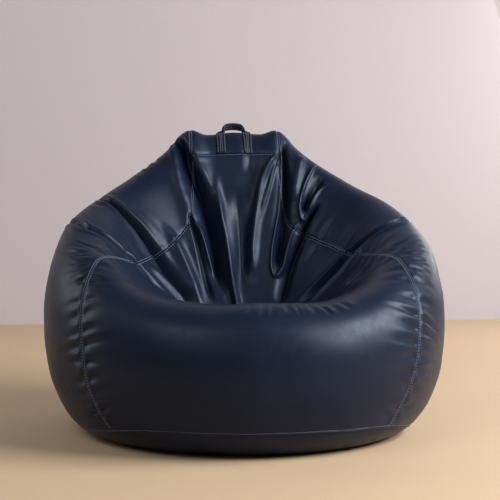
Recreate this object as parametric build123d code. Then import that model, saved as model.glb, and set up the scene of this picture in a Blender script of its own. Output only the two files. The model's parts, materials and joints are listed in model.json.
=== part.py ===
from build123d import *
from math import acos, asin, atan2, cos, degrees, exp, hypot, radians, sin
import os

# A bean bag chair: a leatherette cover sewn from a front gore, two side gores, a rear panel, a yoke
# and a base, closed at the back by a zip, round a lined bag of beads, with a strap loop at the top.
# Millimetres. X points to the sitter's left as seen from the front (the viewer's right), Y to the
# rear, Z up. The origin is the middle of the base, on the floor.
# A "turn" is the angle round the Z axis in degrees, 0 at the front and 180 at the rear.

# ---- overall form -------------------------------------------------------------------------------
half_width = 499.0        # widest reach to each side
half_depth = 490.0        # widest reach to the front and to the rear
foot_radius = 360.0       # where the flat of the base ends
foot_rise = 8.0           # how fast the wall leaves the floor
skirt_radius = 462.0      # wall radius at the top of the round skirt
skirt_height = 85.0       # the wall is a true surface of revolution up to here
skirt_lean = 24.0         # lean of the wall there, degrees outwards from upright
seat_height = 232.0       # lowest point of the seat
fullness_up = 0.60        # how far the wall stands up before it rolls over, share of its rise
fullness_in = 0.62        # how far the roll reaches out from the crest, share of its reach

# turn, height of the widest point, how far the crest lies inside it, height of the crest
lip = (0, 200, 118, 350)
stations = [
    lip,
    (30, 210, 112, 356),
    (50, 235, 107, 388),
    (70, 262, 104, 450),
    (90, 285, 107, 508),      # middle of the arm
    (110, 295, 114, 558),
    (128, 295, 124, 602),
    (142, 292, 129, 648),
    (152, 288, 134, 694),
    (160, 284, 135, 743),     # horn
    (168, 281, 138, 733),
    (180, 280, 144, 738),     # top of the back
]

# Main folds of the cover, each running from the crest down into the seat: the (level, turn) points that it
# runs through, how far it sinks (less than 0 stands out), and its half width. Levels are those of profile();
# a turn less than 0 is on the viewer's left.
folds = [
    ([(2.92, -156), (3.18, -154.5), (3.46, -161), (3.76, -162)], 34, 19),     # beside the left horn
    ([(3.05, 156), (3.28, 152), (3.46, 149), (3.66, 147)], 24, 13),           # beside the right horn
    ([(3.24, 132), (3.44, 137), (3.60, 139), (3.78, 133)], 26, 13),           # lower in the right of the back
    ([(2.78, -121), (3.14, -113.5), (3.42, -118.5), (3.78, -125)], 25, 16),   # behind the left arm
    ([(3.30, 180), (3.54, 178), (3.76, 176)], 15, 20),                        # hollow between the two ridges
    ([(3.26, -169), (3.46, -168), (3.78, -174)], -16, 13),                    # left ridge
    ([(3.20, 159), (3.40, 166), (3.72, 169)], -17, 14),                       # right ridge
    ([(3.30, -130), (3.54, -134), (3.76, -131)], -14, 18),                    # broad ridge on the left
]
fold_fade = 0.22          # share of a fold's length in which it grows from nothing at each end

# ---- sheet goods --------------------------------------------------------------------------------
cover_thickness = 2.0
liner_space = 1.6         # slack between cover and liner on the walls
rest_gap = 0.3            # between layers that lie on each other
liner_thickness = 0.8
seat_ring = 14.0          # radius of the small flat in the middle of the seat

# ---- seams --------------------------------------------------------------------------------------
front_seam_reach = 302.0  # the front gore ends this far forward of the middle, on the lower wall
front_seam_split = 250.0  # up to this height
front_seam_path = [       # and then goes over the arm and up the back: turn, share of the crest radius
    (57, 1.235), (61, 1.09), (93, 0.697), (148, 0.671)]
rear_seam_turn = 138.0    # where the rear panel begins on the outer wall
rear_seam_path = (150, 1.14)
yoke_half_width = 118.0
yoke_drop = 58.0          # depth of the yoke below the top of the back
base_seam_front = 64.0    # height of the base seam
base_seam_side = 22.0
base_seam_rear = 50.0
welt_width = 3.0
welt_height = 1.6

# ---- zip, in the wall just above the base seam --------------------------------------------------
zip_half_angle = 38.0     # the tapes run this far to each side of the rear, degrees
zip_width = 28.0
zip_slit = 1.8
coil_width = 2.6
coil_height = 1.6
coil_end = 8.0            # bare tape at each end
stop_length = 5.0
stop_height = 2.4
slider_length = 22.0
slider_wall = 1.1
slider_under_wall = 0.7
slider_clearance = 0.45
bridge_width = 3.0        # the slider's paper-clip bridge, in place of a pull tab
bridge_gap = 1.3
bridge_wall = 1.0
garage_length = 34.0
garage_wall = 1.2
garage_space = 0.7
closure_width = 20.0      # hook-and-loop strip on the liner
closure_thickness = 1.1
closure_half_angle = 30.0
closure_height = 110.0

# ---- carry handle -------------------------------------------------------------------------------
strap_width = 25.0
strap_thickness = 2.6
loop_width = 62.0
loop_height = 40.0
loop_lean = 50.0          # leans this far back from upright at rest, degrees
root_radius = 3.4         # the strap is gathered to this where it turns
root_length = 16.0        # and reaches its full width this far up
root_gap = 0.3
tab_width = 22.0
tab_drop = 52.0           # depth of the sewn tabs below the top of the back
tab_offset = 6.0          # the middle of a tab lies this far outside the loop's leg
tab_overlap = 4.0         # a tab runs this far past the loop's root
patch_thickness = 1.0
patch_margin = 9.0
patch_end = 12.0          # the patch stops this far short of the crest

turn_step = 5             # spacing of the points that each ring of the form goes through
fold_turn_step = 2.5      # and their spacing where the folds are
fold_turns = (110, 250)
first_turn = 100          # where the rings close, away from every seam
far = 700.0               # beyond every reach of the form


# ---- the outer form -----------------------------------------------------------------------------
def smooth_value(turn, column):
    """Value of a station column at a turn, by a smooth curve through the stations."""
    turn = abs((turn + 180.0) % 360.0 - 180.0)
    rows = [(-stations[1][0],) + stations[1][1:]] + stations
    rows = rows + [(360 - stations[-2][0],) + stations[-2][1:]]
    i = 1
    while i < len(rows) - 3 and turn >= rows[i + 1][0]:
        i += 1
    before, low, high, after = rows[i - 1], rows[i], rows[i + 1], rows[i + 2]
    span = high[0] - low[0]
    slope_low = (high[column] - before[column]) / (high[0] - before[0])
    slope_high = (after[column] - low[column]) / (after[0] - low[0])
    t = (turn - low[0]) / span
    return ((2 * t**3 - 3 * t**2 + 1) * low[column] + (t**3 - 2 * t**2 + t) * span * slope_low
            + (3 * t**2 - 2 * t**3) * high[column] + (t**3 - t**2) * span * slope_high)


def bezier(a, b, c, d, t):
    """Point on a cubic curve in the (radius, height) half plane."""
    u = 1 - t
    return tuple(u**3 * a[i] + 3 * u * u * t * b[i] + 3 * u * t * t * c[i] + t**3 * d[i] for i in (0, 1))


def belly_radius(turn):
    a = radians(turn)
    return 1 / hypot(sin(a) / half_width, cos(a) / half_depth)


def crest_radius(turn):
    return belly_radius(turn) - smooth_value(turn, 2)


def profile(turn, level):
    """Radius and height: level 0 foot, 1 skirt, 2 widest point, 3 crest, 4 middle of the seat.

    Below level 0 the wall runs on straight under the floor, where it is cut off.
    """
    belly_height, crest_height = smooth_value(turn, 1), smooth_value(turn, 3)
    widest, top = belly_radius(turn), crest_radius(turn)
    lean = radians(skirt_lean)
    out, up = sin(lean), cos(lean)
    foot = (foot_radius, 0.0)
    skirt = (skirt_radius, skirt_height)
    belly = (widest, belly_height)
    crest = (top, crest_height)
    reach = 0.62 * (skirt_radius - foot_radius)
    if level <= 0:
        return foot_radius + 2 * reach * level, 2 * foot_rise * level
    if level <= 1:
        rise = 0.45 * skirt_height
        return bezier(foot, (foot_radius + reach, foot_rise), (skirt_radius - out * rise, skirt_height - up * rise),
                      skirt, level)
    if level <= 2:
        rise = belly_height - skirt_height
        return bezier(skirt, (skirt_radius + out * 0.33 * rise, skirt_height + up * 0.33 * rise),
                      (widest, belly_height - 0.40 * rise), belly, level - 1)
    if level <= 3:
        rise, reach = crest_height - belly_height, widest - top
        return bezier(belly, (widest, belly_height + fullness_up * rise),
                      (top + fullness_in * reach, crest_height), crest, level - 2)
    return bezier(crest, (0.70 * top, crest_height), (0.55 * top, seat_height),
                  (0.0, seat_height), level - 3)


def surface_point(turn, level):
    radius, height = profile(turn, level)
    a = radians(turn)
    return Vector(radius * sin(a), -radius * cos(a), height)


def ease(share):
    """From 0 to 1, smooth at both ends."""
    t = min(max(share, 0.0), 1.0)
    return t * t * (3 - 2 * t)


def fold_depth(turn, level):
    """How far the folds sink the cover at a place of the form."""
    depth = 0.0
    for path, sunk, half in folds:
        share = (level - path[0][0]) / (path[-1][0] - path[0][0])
        if 0 < share < 1:
            (v0, t0), (v1, t1) = next(pair for pair in zip(path, path[1:]) if level <= pair[1][0])
            middle = t0 + (t1 - t0) * (level - v0) / (v1 - v0)
            aside = radians((turn - middle + 180) % 360 - 180) * profile(turn, level)[0]
            depth += sunk * ease(share / fold_fade) * ease((1 - share) / fold_fade) * exp(-(aside / half)**2)
    return depth


def inset_point(turn, level, inset):
    """Point of the form moved inwards, square to the surface, with the folds in it."""
    step = 0.02
    along = surface_point(turn, min(level + step, 3.98)) - surface_point(turn, level - step)
    around = surface_point(turn + 1, level) - surface_point(turn - 1, level)
    inward = along.cross(around).normalized()
    return surface_point(turn, level) + inward * (inset + fold_depth(turn, level))


def even_levels(count):
    """Levels from under the floor to the middle, about evenly spaced along the side's profile."""
    steps = [-0.5 + 4.5 * i / 450 for i in range(451)]
    points = [profile(90, level) for level in steps]
    run = [0.0]
    for (r0, z0), (r1, z1) in zip(points, points[1:]):
        run.append(run[-1] + hypot(r1 - r0, z1 - z0))
    usable = run[-1] - seat_ring
    wanted = [usable * i / count for i in range(count)]
    return [steps[min(range(451), key=lambda k: abs(run[k] - w))] for w in wanted]


levels = even_levels(34)
made_bodies = {}


def ring_turns():
    """Turns of the points that each ring goes through."""
    turns = [first_turn]
    while turns[-1] < first_turn + 360:
        near_folds = fold_turns[0] <= turns[-1] < fold_turns[1]
        turns.append(turns[-1] + (fold_turn_step if near_folds else turn_step))
    return turns[:-1]


def ring(points):
    places = [(turn - first_turn) / 360 for turn in ring_turns()] + [1.0]
    return Wire([Edge.make_spline(points, periodic=True, parameters=places)])


def body(inset=0.0, floor_inset=None):
    """The whole closed form, made smaller by inset; the floor may have its own inset."""
    floor_inset = max(inset, 0.0) if floor_inset is None else floor_inset
    key = (inset, floor_inset)
    if key not in made_bodies:
        turns = ring_turns()
        rings = [ring([inset_point(t, level, inset) for t in turns]) for level in levels]
        angles = [radians(t) for t in turns]
        middle = seat_height - inset
        rings.append(ring([Vector(seat_ring * sin(a), -seat_ring * cos(a), middle) for a in angles]))
        above = Pos(0, 0, floor_inset) * Box(2 * far, 2 * far, 2 * far, align=(Align.CENTER, Align.CENTER, Align.MIN))
        made_bodies[key] = Solid.make_loft(rings) & above
    return made_bodies[key]


def layer(outer, inner):
    """The sheet between two insets."""
    return body(outer) - body(inner)


# ---- regions that the seams cut -----------------------------------------------------------------
def plan_point(turn, radius):
    a = radians(turn)
    return (radius * sin(a), -radius * cos(a))


def both_sides(lines, low=-far, high=2 * far):
    """A prism on a plan outline of the right half, with its mirror image."""
    half = Pos(0, 0, low) * extrude(make_face(lines), high - low)
    return half + half.mirror(Plane.YZ)


def front_region():
    """Everything over the front gore's plan, from the floor up."""
    reach = half_depth
    for _ in range(20):
        turn = degrees(acos(front_seam_reach / reach))
        reach = belly_radius(turn)
    wall = plan_point(turn, reach)
    out, over, side, back = (plan_point(turn, share * crest_radius(turn)) for turn, share in front_seam_path)
    back_turn = 180 - degrees(asin(yoke_half_width / crest_radius(160)))
    back_y = -crest_radius(back_turn) * cos(radians(back_turn))
    join = (yoke_half_width, 0.75 * back_y)
    edge = (2 * wall[0], wall[1])
    upper = [Polyline((0, -far), (edge[0], -far), edge, wall), ThreePointArc(wall, out, over),
             ThreePointArc(over, side, back), Polyline(back, join, (yoke_half_width, back_y), (0, back_y), (0, -far))]
    depth = front_seam_split + far
    at_wall = Pos(0, -front_seam_reach, -far) * Box(2 * far, far, depth, align=(Align.CENTER, Align.MAX, Align.MIN))
    in_seat = Pos(0, 0, -far) * Cylinder(0.6 * crest_radius(0), depth, align=(Align.CENTER, Align.CENTER, Align.MIN))
    return both_sides(upper, low=front_seam_split) + at_wall + in_seat


def rear_region():
    wall = plan_point(rear_seam_turn, 0.88 * belly_radius(rear_seam_turn))
    over = plan_point(rear_seam_path[0], rear_seam_path[1] * crest_radius(rear_seam_path[0]))
    corner = (yoke_half_width, crest_radius(160) + 0.3 * yoke_drop)
    edge = plan_point(rear_seam_turn, far)
    lines = [Line(edge, wall), ThreePointArc(wall, over, corner),
             Polyline(corner, (0, corner[1]), (0, 2 * far), (edge[0], 2 * far), edge)]
    return both_sides(lines)


def back_top():
    return smooth_value(180, 3)


def yoke_region():
    low = back_top() - yoke_drop
    return Pos(0, 0, low) * Box(2 * yoke_half_width, 2 * far, far, align=(Align.CENTER, Align.MIN, Align.MIN))


def below_base_seam(shift=0.0):
    """Everything under the base seam, which rises from the sides to the front and the rear."""
    front, side, rear = (h + shift for h in (base_seam_front, base_seam_side, base_seam_rear))
    curve = Spline((-0.97 * skirt_radius, front), (-0.68 * skirt_radius, side + 0.40 * (front - side)),
                   (-0.32 * skirt_radius, side), (0.22 * skirt_radius, side), (0.62 * skirt_radius, rear),
                   tangents=[(1, 0), (1, 0)])
    lines = [Line((-far, front), curve @ 0), curve, Line(curve @ 1, (far, rear)),
             Polyline((far, rear), (far, -far), (-far, -far), (-far, front))]
    face = Plane.YZ * make_face(lines)
    return extrude(face, far, both=True)


def rear_sector(half_angle, low, high):
    """A wedge about the rear, between two heights."""
    corners = [plan_point(180 + side * half_angle, 2 * far) for side in (1, -1)]
    return Pos(0, 0, low) * extrude(make_face(Polyline((0, 0), *corners, close=True)), high - low)


# ---- the zip's own frame: up the wall, out of the wall, and round the rear -----------------------
def wall_at(height):
    """Radius and outward lean (degrees) of the round wall at a height."""
    low, high = 0.0, 1.0
    for _ in range(40):
        middle = (low + high) / 2
        low, high = (middle, high) if profile(180, middle)[1] < height else (low, middle)
    (r0, z0), (r1, z1) = profile(180, low - 0.01), profile(180, low + 0.01)
    return profile(180, low)[0], degrees(atan2(r1 - r0, z1 - z0))


first_lean = wall_at(base_seam_rear + zip_width / 2)[1]
zip_middle = base_seam_rear + zip_width / 2 * cos(radians(first_lean))
zip_radius, zip_lean = wall_at(zip_middle)


def arc_degrees(length):
    return degrees(length / zip_radius)


def along_zip(bars, start, end):
    """Bars of rectangular section (low, high up the wall, low, high out of it), bent round the rear.

    start and end are angles from the middle of the rear, positive to the viewer's left.
    """
    a = radians(zip_lean)
    place = Plane(origin=(zip_radius, 0, zip_middle), x_dir=(sin(a), 0, cos(a)), z_dir=(0, -1, 0))
    joined = None
    for up0, up1, out0, out1 in bars:
        section = place * (Pos((up0 + up1) / 2, -(out0 + out1) / 2) * Rectangle(up1 - up0, out1 - out0))
        bar = revolve(section, Axis.Z, end - start)
        joined = bar if joined is None else joined + bar
    return Rot(0, 0, 90 + start) * joined


# ---- cover --------------------------------------------------------------------------------------
def cover_panels():
    cover = layer(0.0, cover_thickness)
    base = below_base_seam()
    front, rear, yoke = front_region(), rear_region(), yoke_region()
    deep = 10 * cover_thickness
    zip_zone = along_zip([(-zip_width, zip_width / 2, -deep, deep)], -zip_half_angle, zip_half_angle)
    wall = cover - base
    top = wall & yoke
    wall = wall - yoke
    sides = wall - front - rear
    band = wall & zip_zone
    slit = zip_slit / 2
    upper = along_zip([(slit, zip_width, -deep, deep)], -zip_half_angle - 1, zip_half_angle + 1)
    lower = along_zip([(-2 * zip_width, -slit, -deep, deep)], -zip_half_angle - 1, zip_half_angle + 1)
    return {
        "base_panel": cover & base,
        "yoke_panel": top,
        "front_panel": wall & front,
        "left_side_panel": piece_at(sides, -1),
        "right_side_panel": piece_at(sides, 1),
        "rear_panel": (wall & rear) - zip_zone,
        "zip_tape_lower": band & lower,
        "zip_tape_upper": band & upper,
    }


def piece_at(shape, side):
    """The solids of a shape on one side of the middle."""
    return Compound([s for s in shape.solids() if s.center().X * side > 0])


def base_welt():
    band = below_base_seam(welt_width / 2) - below_base_seam(-welt_width / 2)
    return layer(-welt_height, 0.0) & band


# ---- zip ----------------------------------------------------------------------------------------
def coil_edges():
    return zip_slit / 2, zip_slit / 2 + coil_width


def zip_coils():
    inner, outer = coil_edges()
    bead = layer(-coil_height, 0.0)
    end = zip_half_angle - arc_degrees(coil_end)
    deep = 2 * coil_height
    return {"zip_coil_lower": bead & along_zip([(-outer, -inner, -deep, deep)], -end, end),
            "zip_coil_upper": bead & along_zip([(inner, outer, -deep, deep)], -end, end)}


def zip_stops():
    outer = coil_edges()[1]
    bead = layer(-stop_height, 0.0)
    deep = 2 * stop_height
    near = zip_half_angle - arc_degrees(coil_end)
    far_end = near + arc_degrees(stop_length)
    bar = [(-outer, outer, -deep, deep)]
    stops = [bead & along_zip(bar, near, far_end), bead & along_zip(bar, -far_end, -near)]
    return Compound([s for stop in stops for s in stop.solids()])


def slider_half_width():
    return coil_edges()[1] + slider_clearance + slider_wall


def slider_top():
    return coil_height + slider_clearance + slider_wall


def parked_start():
    """Where the parked slider begins, next to the stop on the viewer's right."""
    return -zip_half_angle + arc_degrees(coil_end + slider_clearance)


def zip_slider():
    half, top = slider_half_width(), slider_top()
    under = -(cover_thickness + slider_clearance)
    post = zip_slit / 2 - slider_clearance
    plates = [(-half, half, top - slider_wall, top), (-half, slider_wall - half, slider_clearance, top),
              (half - slider_wall, half, slider_clearance, top), (-post, post, under - slider_under_wall, top),
              (-half, half, under - slider_under_wall, under)]
    start = parked_start()
    slider = along_zip(plates, start, start + arc_degrees(slider_length))
    side = bridge_width / 2
    bridge_top = top + bridge_gap + bridge_wall
    first, last = (start + arc_degrees(share * slider_length) for share in (0.2, 0.8))
    foot = arc_degrees(bridge_wall)
    slider = slider + along_zip([(-side, side, top + bridge_gap, bridge_top)], first, last)
    for edge in (first, last - foot):
        slider = slider + along_zip([(-side, side, top - slider_wall / 2, bridge_top)], edge, edge + foot)
    return slider


def zip_garage():
    """A small open-ended pocket on the cover, over the parked slider."""
    inner = slider_half_width() + garage_space
    outer = inner + garage_wall
    roof = slider_top() + bridge_gap + bridge_wall + garage_space
    sink = rest_gap / 4
    bars = [(-outer, outer, roof, roof + garage_wall), (-outer, -inner, sink, roof), (inner, outer, sink, roof)]
    start = parked_start() - arc_degrees((garage_length - slider_length) / 4)
    return along_zip(bars, start, start + arc_degrees(garage_length))


# ---- lining and filling -------------------------------------------------------------------------
def lining():
    wall = cover_thickness + liner_space
    floor = cover_thickness + rest_gap
    outer = body(wall, floor)
    inner = body(wall + liner_thickness, floor + liner_thickness)
    fill_inset = wall + liner_thickness + rest_gap
    strip_zone = rear_sector(closure_half_angle, closure_height - closure_width / 2, closure_height + closure_width / 2)
    return {
        "inner_liner": outer - inner,
        "liner_closure": (body(wall - closure_thickness) & strip_zone) - outer,
        "bead_fill": body(fill_inset, floor + liner_thickness + rest_gap),
    }


# ---- carry handle -------------------------------------------------------------------------------
def tab_middle():
    return (loop_width - strap_thickness) / 2 + tab_offset


def handle_tabs():
    sheet = layer(-strap_thickness, 0.0)
    low = back_top() - tab_drop
    end = crest_radius(180) + tab_overlap
    zone = Pos(0, 0, low) * Box(tab_width, end, far, align=(Align.CENTER, Align.MIN, Align.MIN))
    tabs = [(sheet & (Pos(side * tab_middle(), 0, 0) * zone)) for side in (-1, 1)]
    return Compound([s for tab in tabs for s in tab.solids()])


def loop_root(tabs):
    """Y and Z of the axis on which the loop swings, just over the ends of the tabs."""
    return crest_radius(180), tabs.bounding_box().max.Z + root_radius + root_gap


def handle_patch():
    half = tab_middle() + tab_width / 2 + patch_margin
    low = back_top() - yoke_drop + patch_margin / 2
    zone = Pos(0, 0, low) * Box(2 * half, crest_radius(180) - patch_end, far,
                                align=(Align.CENTER, Align.MIN, Align.MIN))
    outside = cover_thickness + rest_gap
    return layer(outside, outside + patch_thickness) & zone


def handle_loop(tabs):
    """A strap bent into a loop, gathered at its two roots, leaning back."""
    half = loop_width / 2
    leg = loop_height - half

    def arch(radius):
        foot = -2 * root_radius
        return (Pos(0, leg) * Circle(radius)) + (Pos(0, (leg + foot) / 2) * Rectangle(2 * radius, leg - foot))

    front = Plane.XZ * (arch(half) - arch(half - strap_thickness))
    band = extrude(front, strap_width, both=True)
    wide = strap_width / 2
    fan = make_face(Polyline((-root_radius, 0), (-wide, root_length), (-wide, 2 * loop_height),
                             (wide, 2 * loop_height), (wide, root_length), (root_radius, 0), close=True))
    side = Plane.YZ * (fan + Circle(root_radius))
    loop = band & extrude(side, loop_width, both=True)
    y, z = loop_root(tabs)
    return Pos(0, y, z) * Rot(-loop_lean, 0, 0) * loop


# ---- write one file per node --------------------------------------------------------------------
def all_nodes():
    nodes = cover_panels()
    nodes["base_welt"] = base_welt()
    nodes.update(zip_coils())
    nodes["zip_stops"] = zip_stops()
    nodes["zip_slider"] = zip_slider()
    nodes["zip_garage"] = zip_garage()
    nodes.update(lining())
    nodes["handle_patch"] = handle_patch()
    tabs = handle_tabs()
    nodes["handle_tabs"] = tabs
    nodes["handle_loop"] = handle_loop(tabs)
    return nodes


os.makedirs("parts", exist_ok=True)
for name, shape in all_nodes().items():
    export_step(Compound(shape.solids()), "parts/" + name + ".step")
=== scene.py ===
import bpy
import json
import math
import numpy as np
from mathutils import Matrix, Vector
from mathutils.kdtree import KDTree


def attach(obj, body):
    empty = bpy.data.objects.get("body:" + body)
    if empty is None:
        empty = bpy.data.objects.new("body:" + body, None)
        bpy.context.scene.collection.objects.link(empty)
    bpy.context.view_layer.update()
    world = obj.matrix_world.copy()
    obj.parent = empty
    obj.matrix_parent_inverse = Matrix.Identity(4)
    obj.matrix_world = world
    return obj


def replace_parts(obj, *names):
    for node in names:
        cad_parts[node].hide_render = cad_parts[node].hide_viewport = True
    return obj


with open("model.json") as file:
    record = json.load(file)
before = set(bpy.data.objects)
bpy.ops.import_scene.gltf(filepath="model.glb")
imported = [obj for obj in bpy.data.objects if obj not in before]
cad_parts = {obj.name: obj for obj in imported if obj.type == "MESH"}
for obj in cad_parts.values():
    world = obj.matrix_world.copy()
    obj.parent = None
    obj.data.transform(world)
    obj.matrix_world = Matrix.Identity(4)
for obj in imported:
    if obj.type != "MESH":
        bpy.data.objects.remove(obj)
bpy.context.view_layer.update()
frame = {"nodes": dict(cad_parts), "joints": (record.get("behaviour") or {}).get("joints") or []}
print("frame loaded: %d nodes" % len(frame["nodes"]))

mm = 0.001

# A turn is the angle round the upright axis: 0 front, 90 the viewer's right, 180 rear.
# A level runs up one side: 0 foot, 1 skirt, 2 widest, 3 crest, 4 middle of the seat.
chairForm = {                      # millimetres and degrees
    "halfWidth": 499.0,
    "halfDepth": 490.0,
    "footRadius": 360.0,
    "footRise": 8.0,
    "skirtRadius": 462.0,
    "skirtHeight": 85.0,
    "skirtLean": 24.0,
    "seatHeight": 232.0,
    "footReach": 0.62,             # handles of the profile's curves, as shares of their spans
    "skirtPull": 0.45,
    "wallStart": 0.33,
    "bellyPull": 0.40,
    "fullnessUp": 0.60,
    "fullnessIn": 0.62,
    "crestReach": 0.70,
    "seatReach": 0.55,
    "stations": [                  # turn, belly height, how far inside the belly the crest lies, crest height
        (0, 200, 118, 350), (30, 210, 112, 356), (50, 235, 107, 388), (70, 262, 104, 450),
        (90, 285, 107, 508), (110, 295, 114, 558), (128, 295, 124, 602), (142, 292, 129, 648),
        (152, 288, 134, 694), (160, 284, 135, 743), (168, 281, 138, 733), (180, 280, 144, 738)],
}
gridFineness = {"columns": 840, "levelSteps": (26, 50, 82, 140), "lastLevel": 3.997}    # steps in each level


def stationValue(turn, column):
    # a column of the stations at any turn, as one smooth curve that is mirrored at the front and the rear
    rows = chairForm["stations"]
    rows = [(-rows[1][0],) + rows[1][1:]] + rows + [(360 - rows[-2][0],) + rows[-2][1:]]
    x = np.array([row[0] for row in rows], float)
    y = np.array([row[column] for row in rows], float)
    t = np.abs((np.asarray(turn, float) + 180) % 360 - 180)
    i = np.clip(np.searchsorted(x, t, side="right") - 1, 1, len(x) - 3)
    span = x[i + 1] - x[i]
    slopeLow = (y[i + 1] - y[i - 1]) / (x[i + 1] - x[i - 1])
    slopeHigh = (y[i + 2] - y[i]) / (x[i + 2] - x[i])
    u = (t - x[i]) / span
    return ((2 * u**3 - 3 * u**2 + 1) * y[i] + (u**3 - 2 * u**2 + u) * span * slopeLow
            + (3 * u**2 - 2 * u**3) * y[i + 1] + (u**3 - u**2) * span * slopeHigh)


def cubic(a, b, c, d, t):
    # a curve from a to d with its handles at b and c
    u = 1 - t
    return u**3 * a + 3 * u * u * t * b + 3 * u * t * t * c + t**3 * d


def wallPoint(turn, level):
    # a point of the plain form: four curves that meet in line, from the foot up the wall and in to the seat
    turn, level = np.broadcast_arrays(np.asarray(turn, float), np.asarray(level, float))
    f = chairForm
    a = np.radians(turn)
    bellyHeight, crestHeight = stationValue(turn, 1), stationValue(turn, 3)
    bellyRadius = 1 / np.hypot(np.sin(a) / f["halfWidth"], np.cos(a) / f["halfDepth"])
    crestRadius = bellyRadius - stationValue(turn, 2)
    lean = math.radians(f["skirtLean"])
    out, up = math.sin(lean), math.cos(lean)
    foot, skirt, skirtHeight = f["footRadius"], f["skirtRadius"], f["skirtHeight"]
    reach, rise = f["footReach"] * (skirt - foot), f["skirtPull"] * skirtHeight
    t = np.clip(level, 0, 1)
    low = (cubic(foot, foot + reach, skirt - out * rise, skirt, t),
           cubic(0, f["footRise"], skirtHeight - up * rise, skirtHeight, t))
    t = np.clip(level - 1, 0, 1)
    rise = bellyHeight - skirtHeight
    wall = (cubic(skirt, skirt + out * f["wallStart"] * rise, bellyRadius, bellyRadius, t),
            cubic(skirtHeight, skirtHeight + up * f["wallStart"] * rise, bellyHeight - f["bellyPull"] * rise,
                  bellyHeight, t))
    t = np.clip(level - 2, 0, 1)
    rise, reach = crestHeight - bellyHeight, bellyRadius - crestRadius
    roll = (cubic(bellyRadius, bellyRadius, crestRadius + f["fullnessIn"] * reach, crestRadius, t),
            cubic(bellyHeight, bellyHeight + f["fullnessUp"] * rise, crestHeight, crestHeight, t))
    t = np.clip(level - 3, 0, 1)
    seat = (cubic(crestRadius, f["crestReach"] * crestRadius, f["seatReach"] * crestRadius, 0.0, t),
            cubic(crestHeight, crestHeight, f["seatHeight"], f["seatHeight"], t))
    where = [level <= 1, level <= 2, level <= 3]
    radius = np.select(where, [low[0], wall[0], roll[0]], seat[0])
    height = np.select(where, [low[1], wall[1], roll[1]], seat[1])
    return np.stack([radius * np.sin(a), -radius * np.cos(a), height], -1)


def smoothPath(path, count=60):
    # a smooth curve through its points
    p = np.array([path[0]] + list(path) + [path[-1]], float)
    t = np.linspace(0, len(path) - 1 - 1e-6, count)
    i = t.astype(int) + 1
    u = (t - t.astype(int))[:, None]
    a, b, c, d = p[i - 1], p[i], p[i + 1], p[np.minimum(i + 2, len(p) - 1)]
    return 0.5 * ((2 * b) + (c - a) * u + (2 * a - 5 * b + 4 * c - d) * u**2 + (3 * b - a - 3 * c + d) * u**3)


def ease(low, high, x):
    # 0 below low, 1 above high, and a soft step between them
    t = np.clip((x - low) / (high - low), 0, 1)
    return t * t * (3 - 2 * t)


def unit(v):
    return v / np.maximum(np.linalg.norm(v, axis=-1, keepdims=True), 1e-9)


def nearLine(points, normals, line, reach):
    # distance to a line, share of the way along it, and which side: + to the left of its run
    line = np.asarray(line, float)
    low, high = line.min(0) - reach, line.max(0) + reach
    near = np.where(np.all((points > low) & (points < high), axis=1))[0]
    best = np.full(len(near), 1e9)
    share, side = np.zeros(len(near)), np.ones(len(near))
    lengths = np.linalg.norm(np.diff(line, axis=0), axis=1)
    run = np.concatenate([[0], np.cumsum(lengths)])
    p, n = points[near], normals[near]
    for k in range(len(line) - 1):
        a, along = line[k], line[k + 1] - line[k]
        t = np.clip(((p - a) @ along) / max(along @ along, 1e-9), 0, 1)
        gap = p - a - t[:, None] * along
        d = np.linalg.norm(gap, axis=1)
        closer = d < best
        best[closer] = d[closer]
        share[closer] = ((run[k] + t * lengths[k]) / run[-1])[closer]
        side[closer] = np.sign(np.einsum("ij,ij->i", np.cross(along, gap), n))[closer]
    keep = best < reach
    return near[keep], best[keep], share[keep], side[keep], run[-1]


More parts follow.
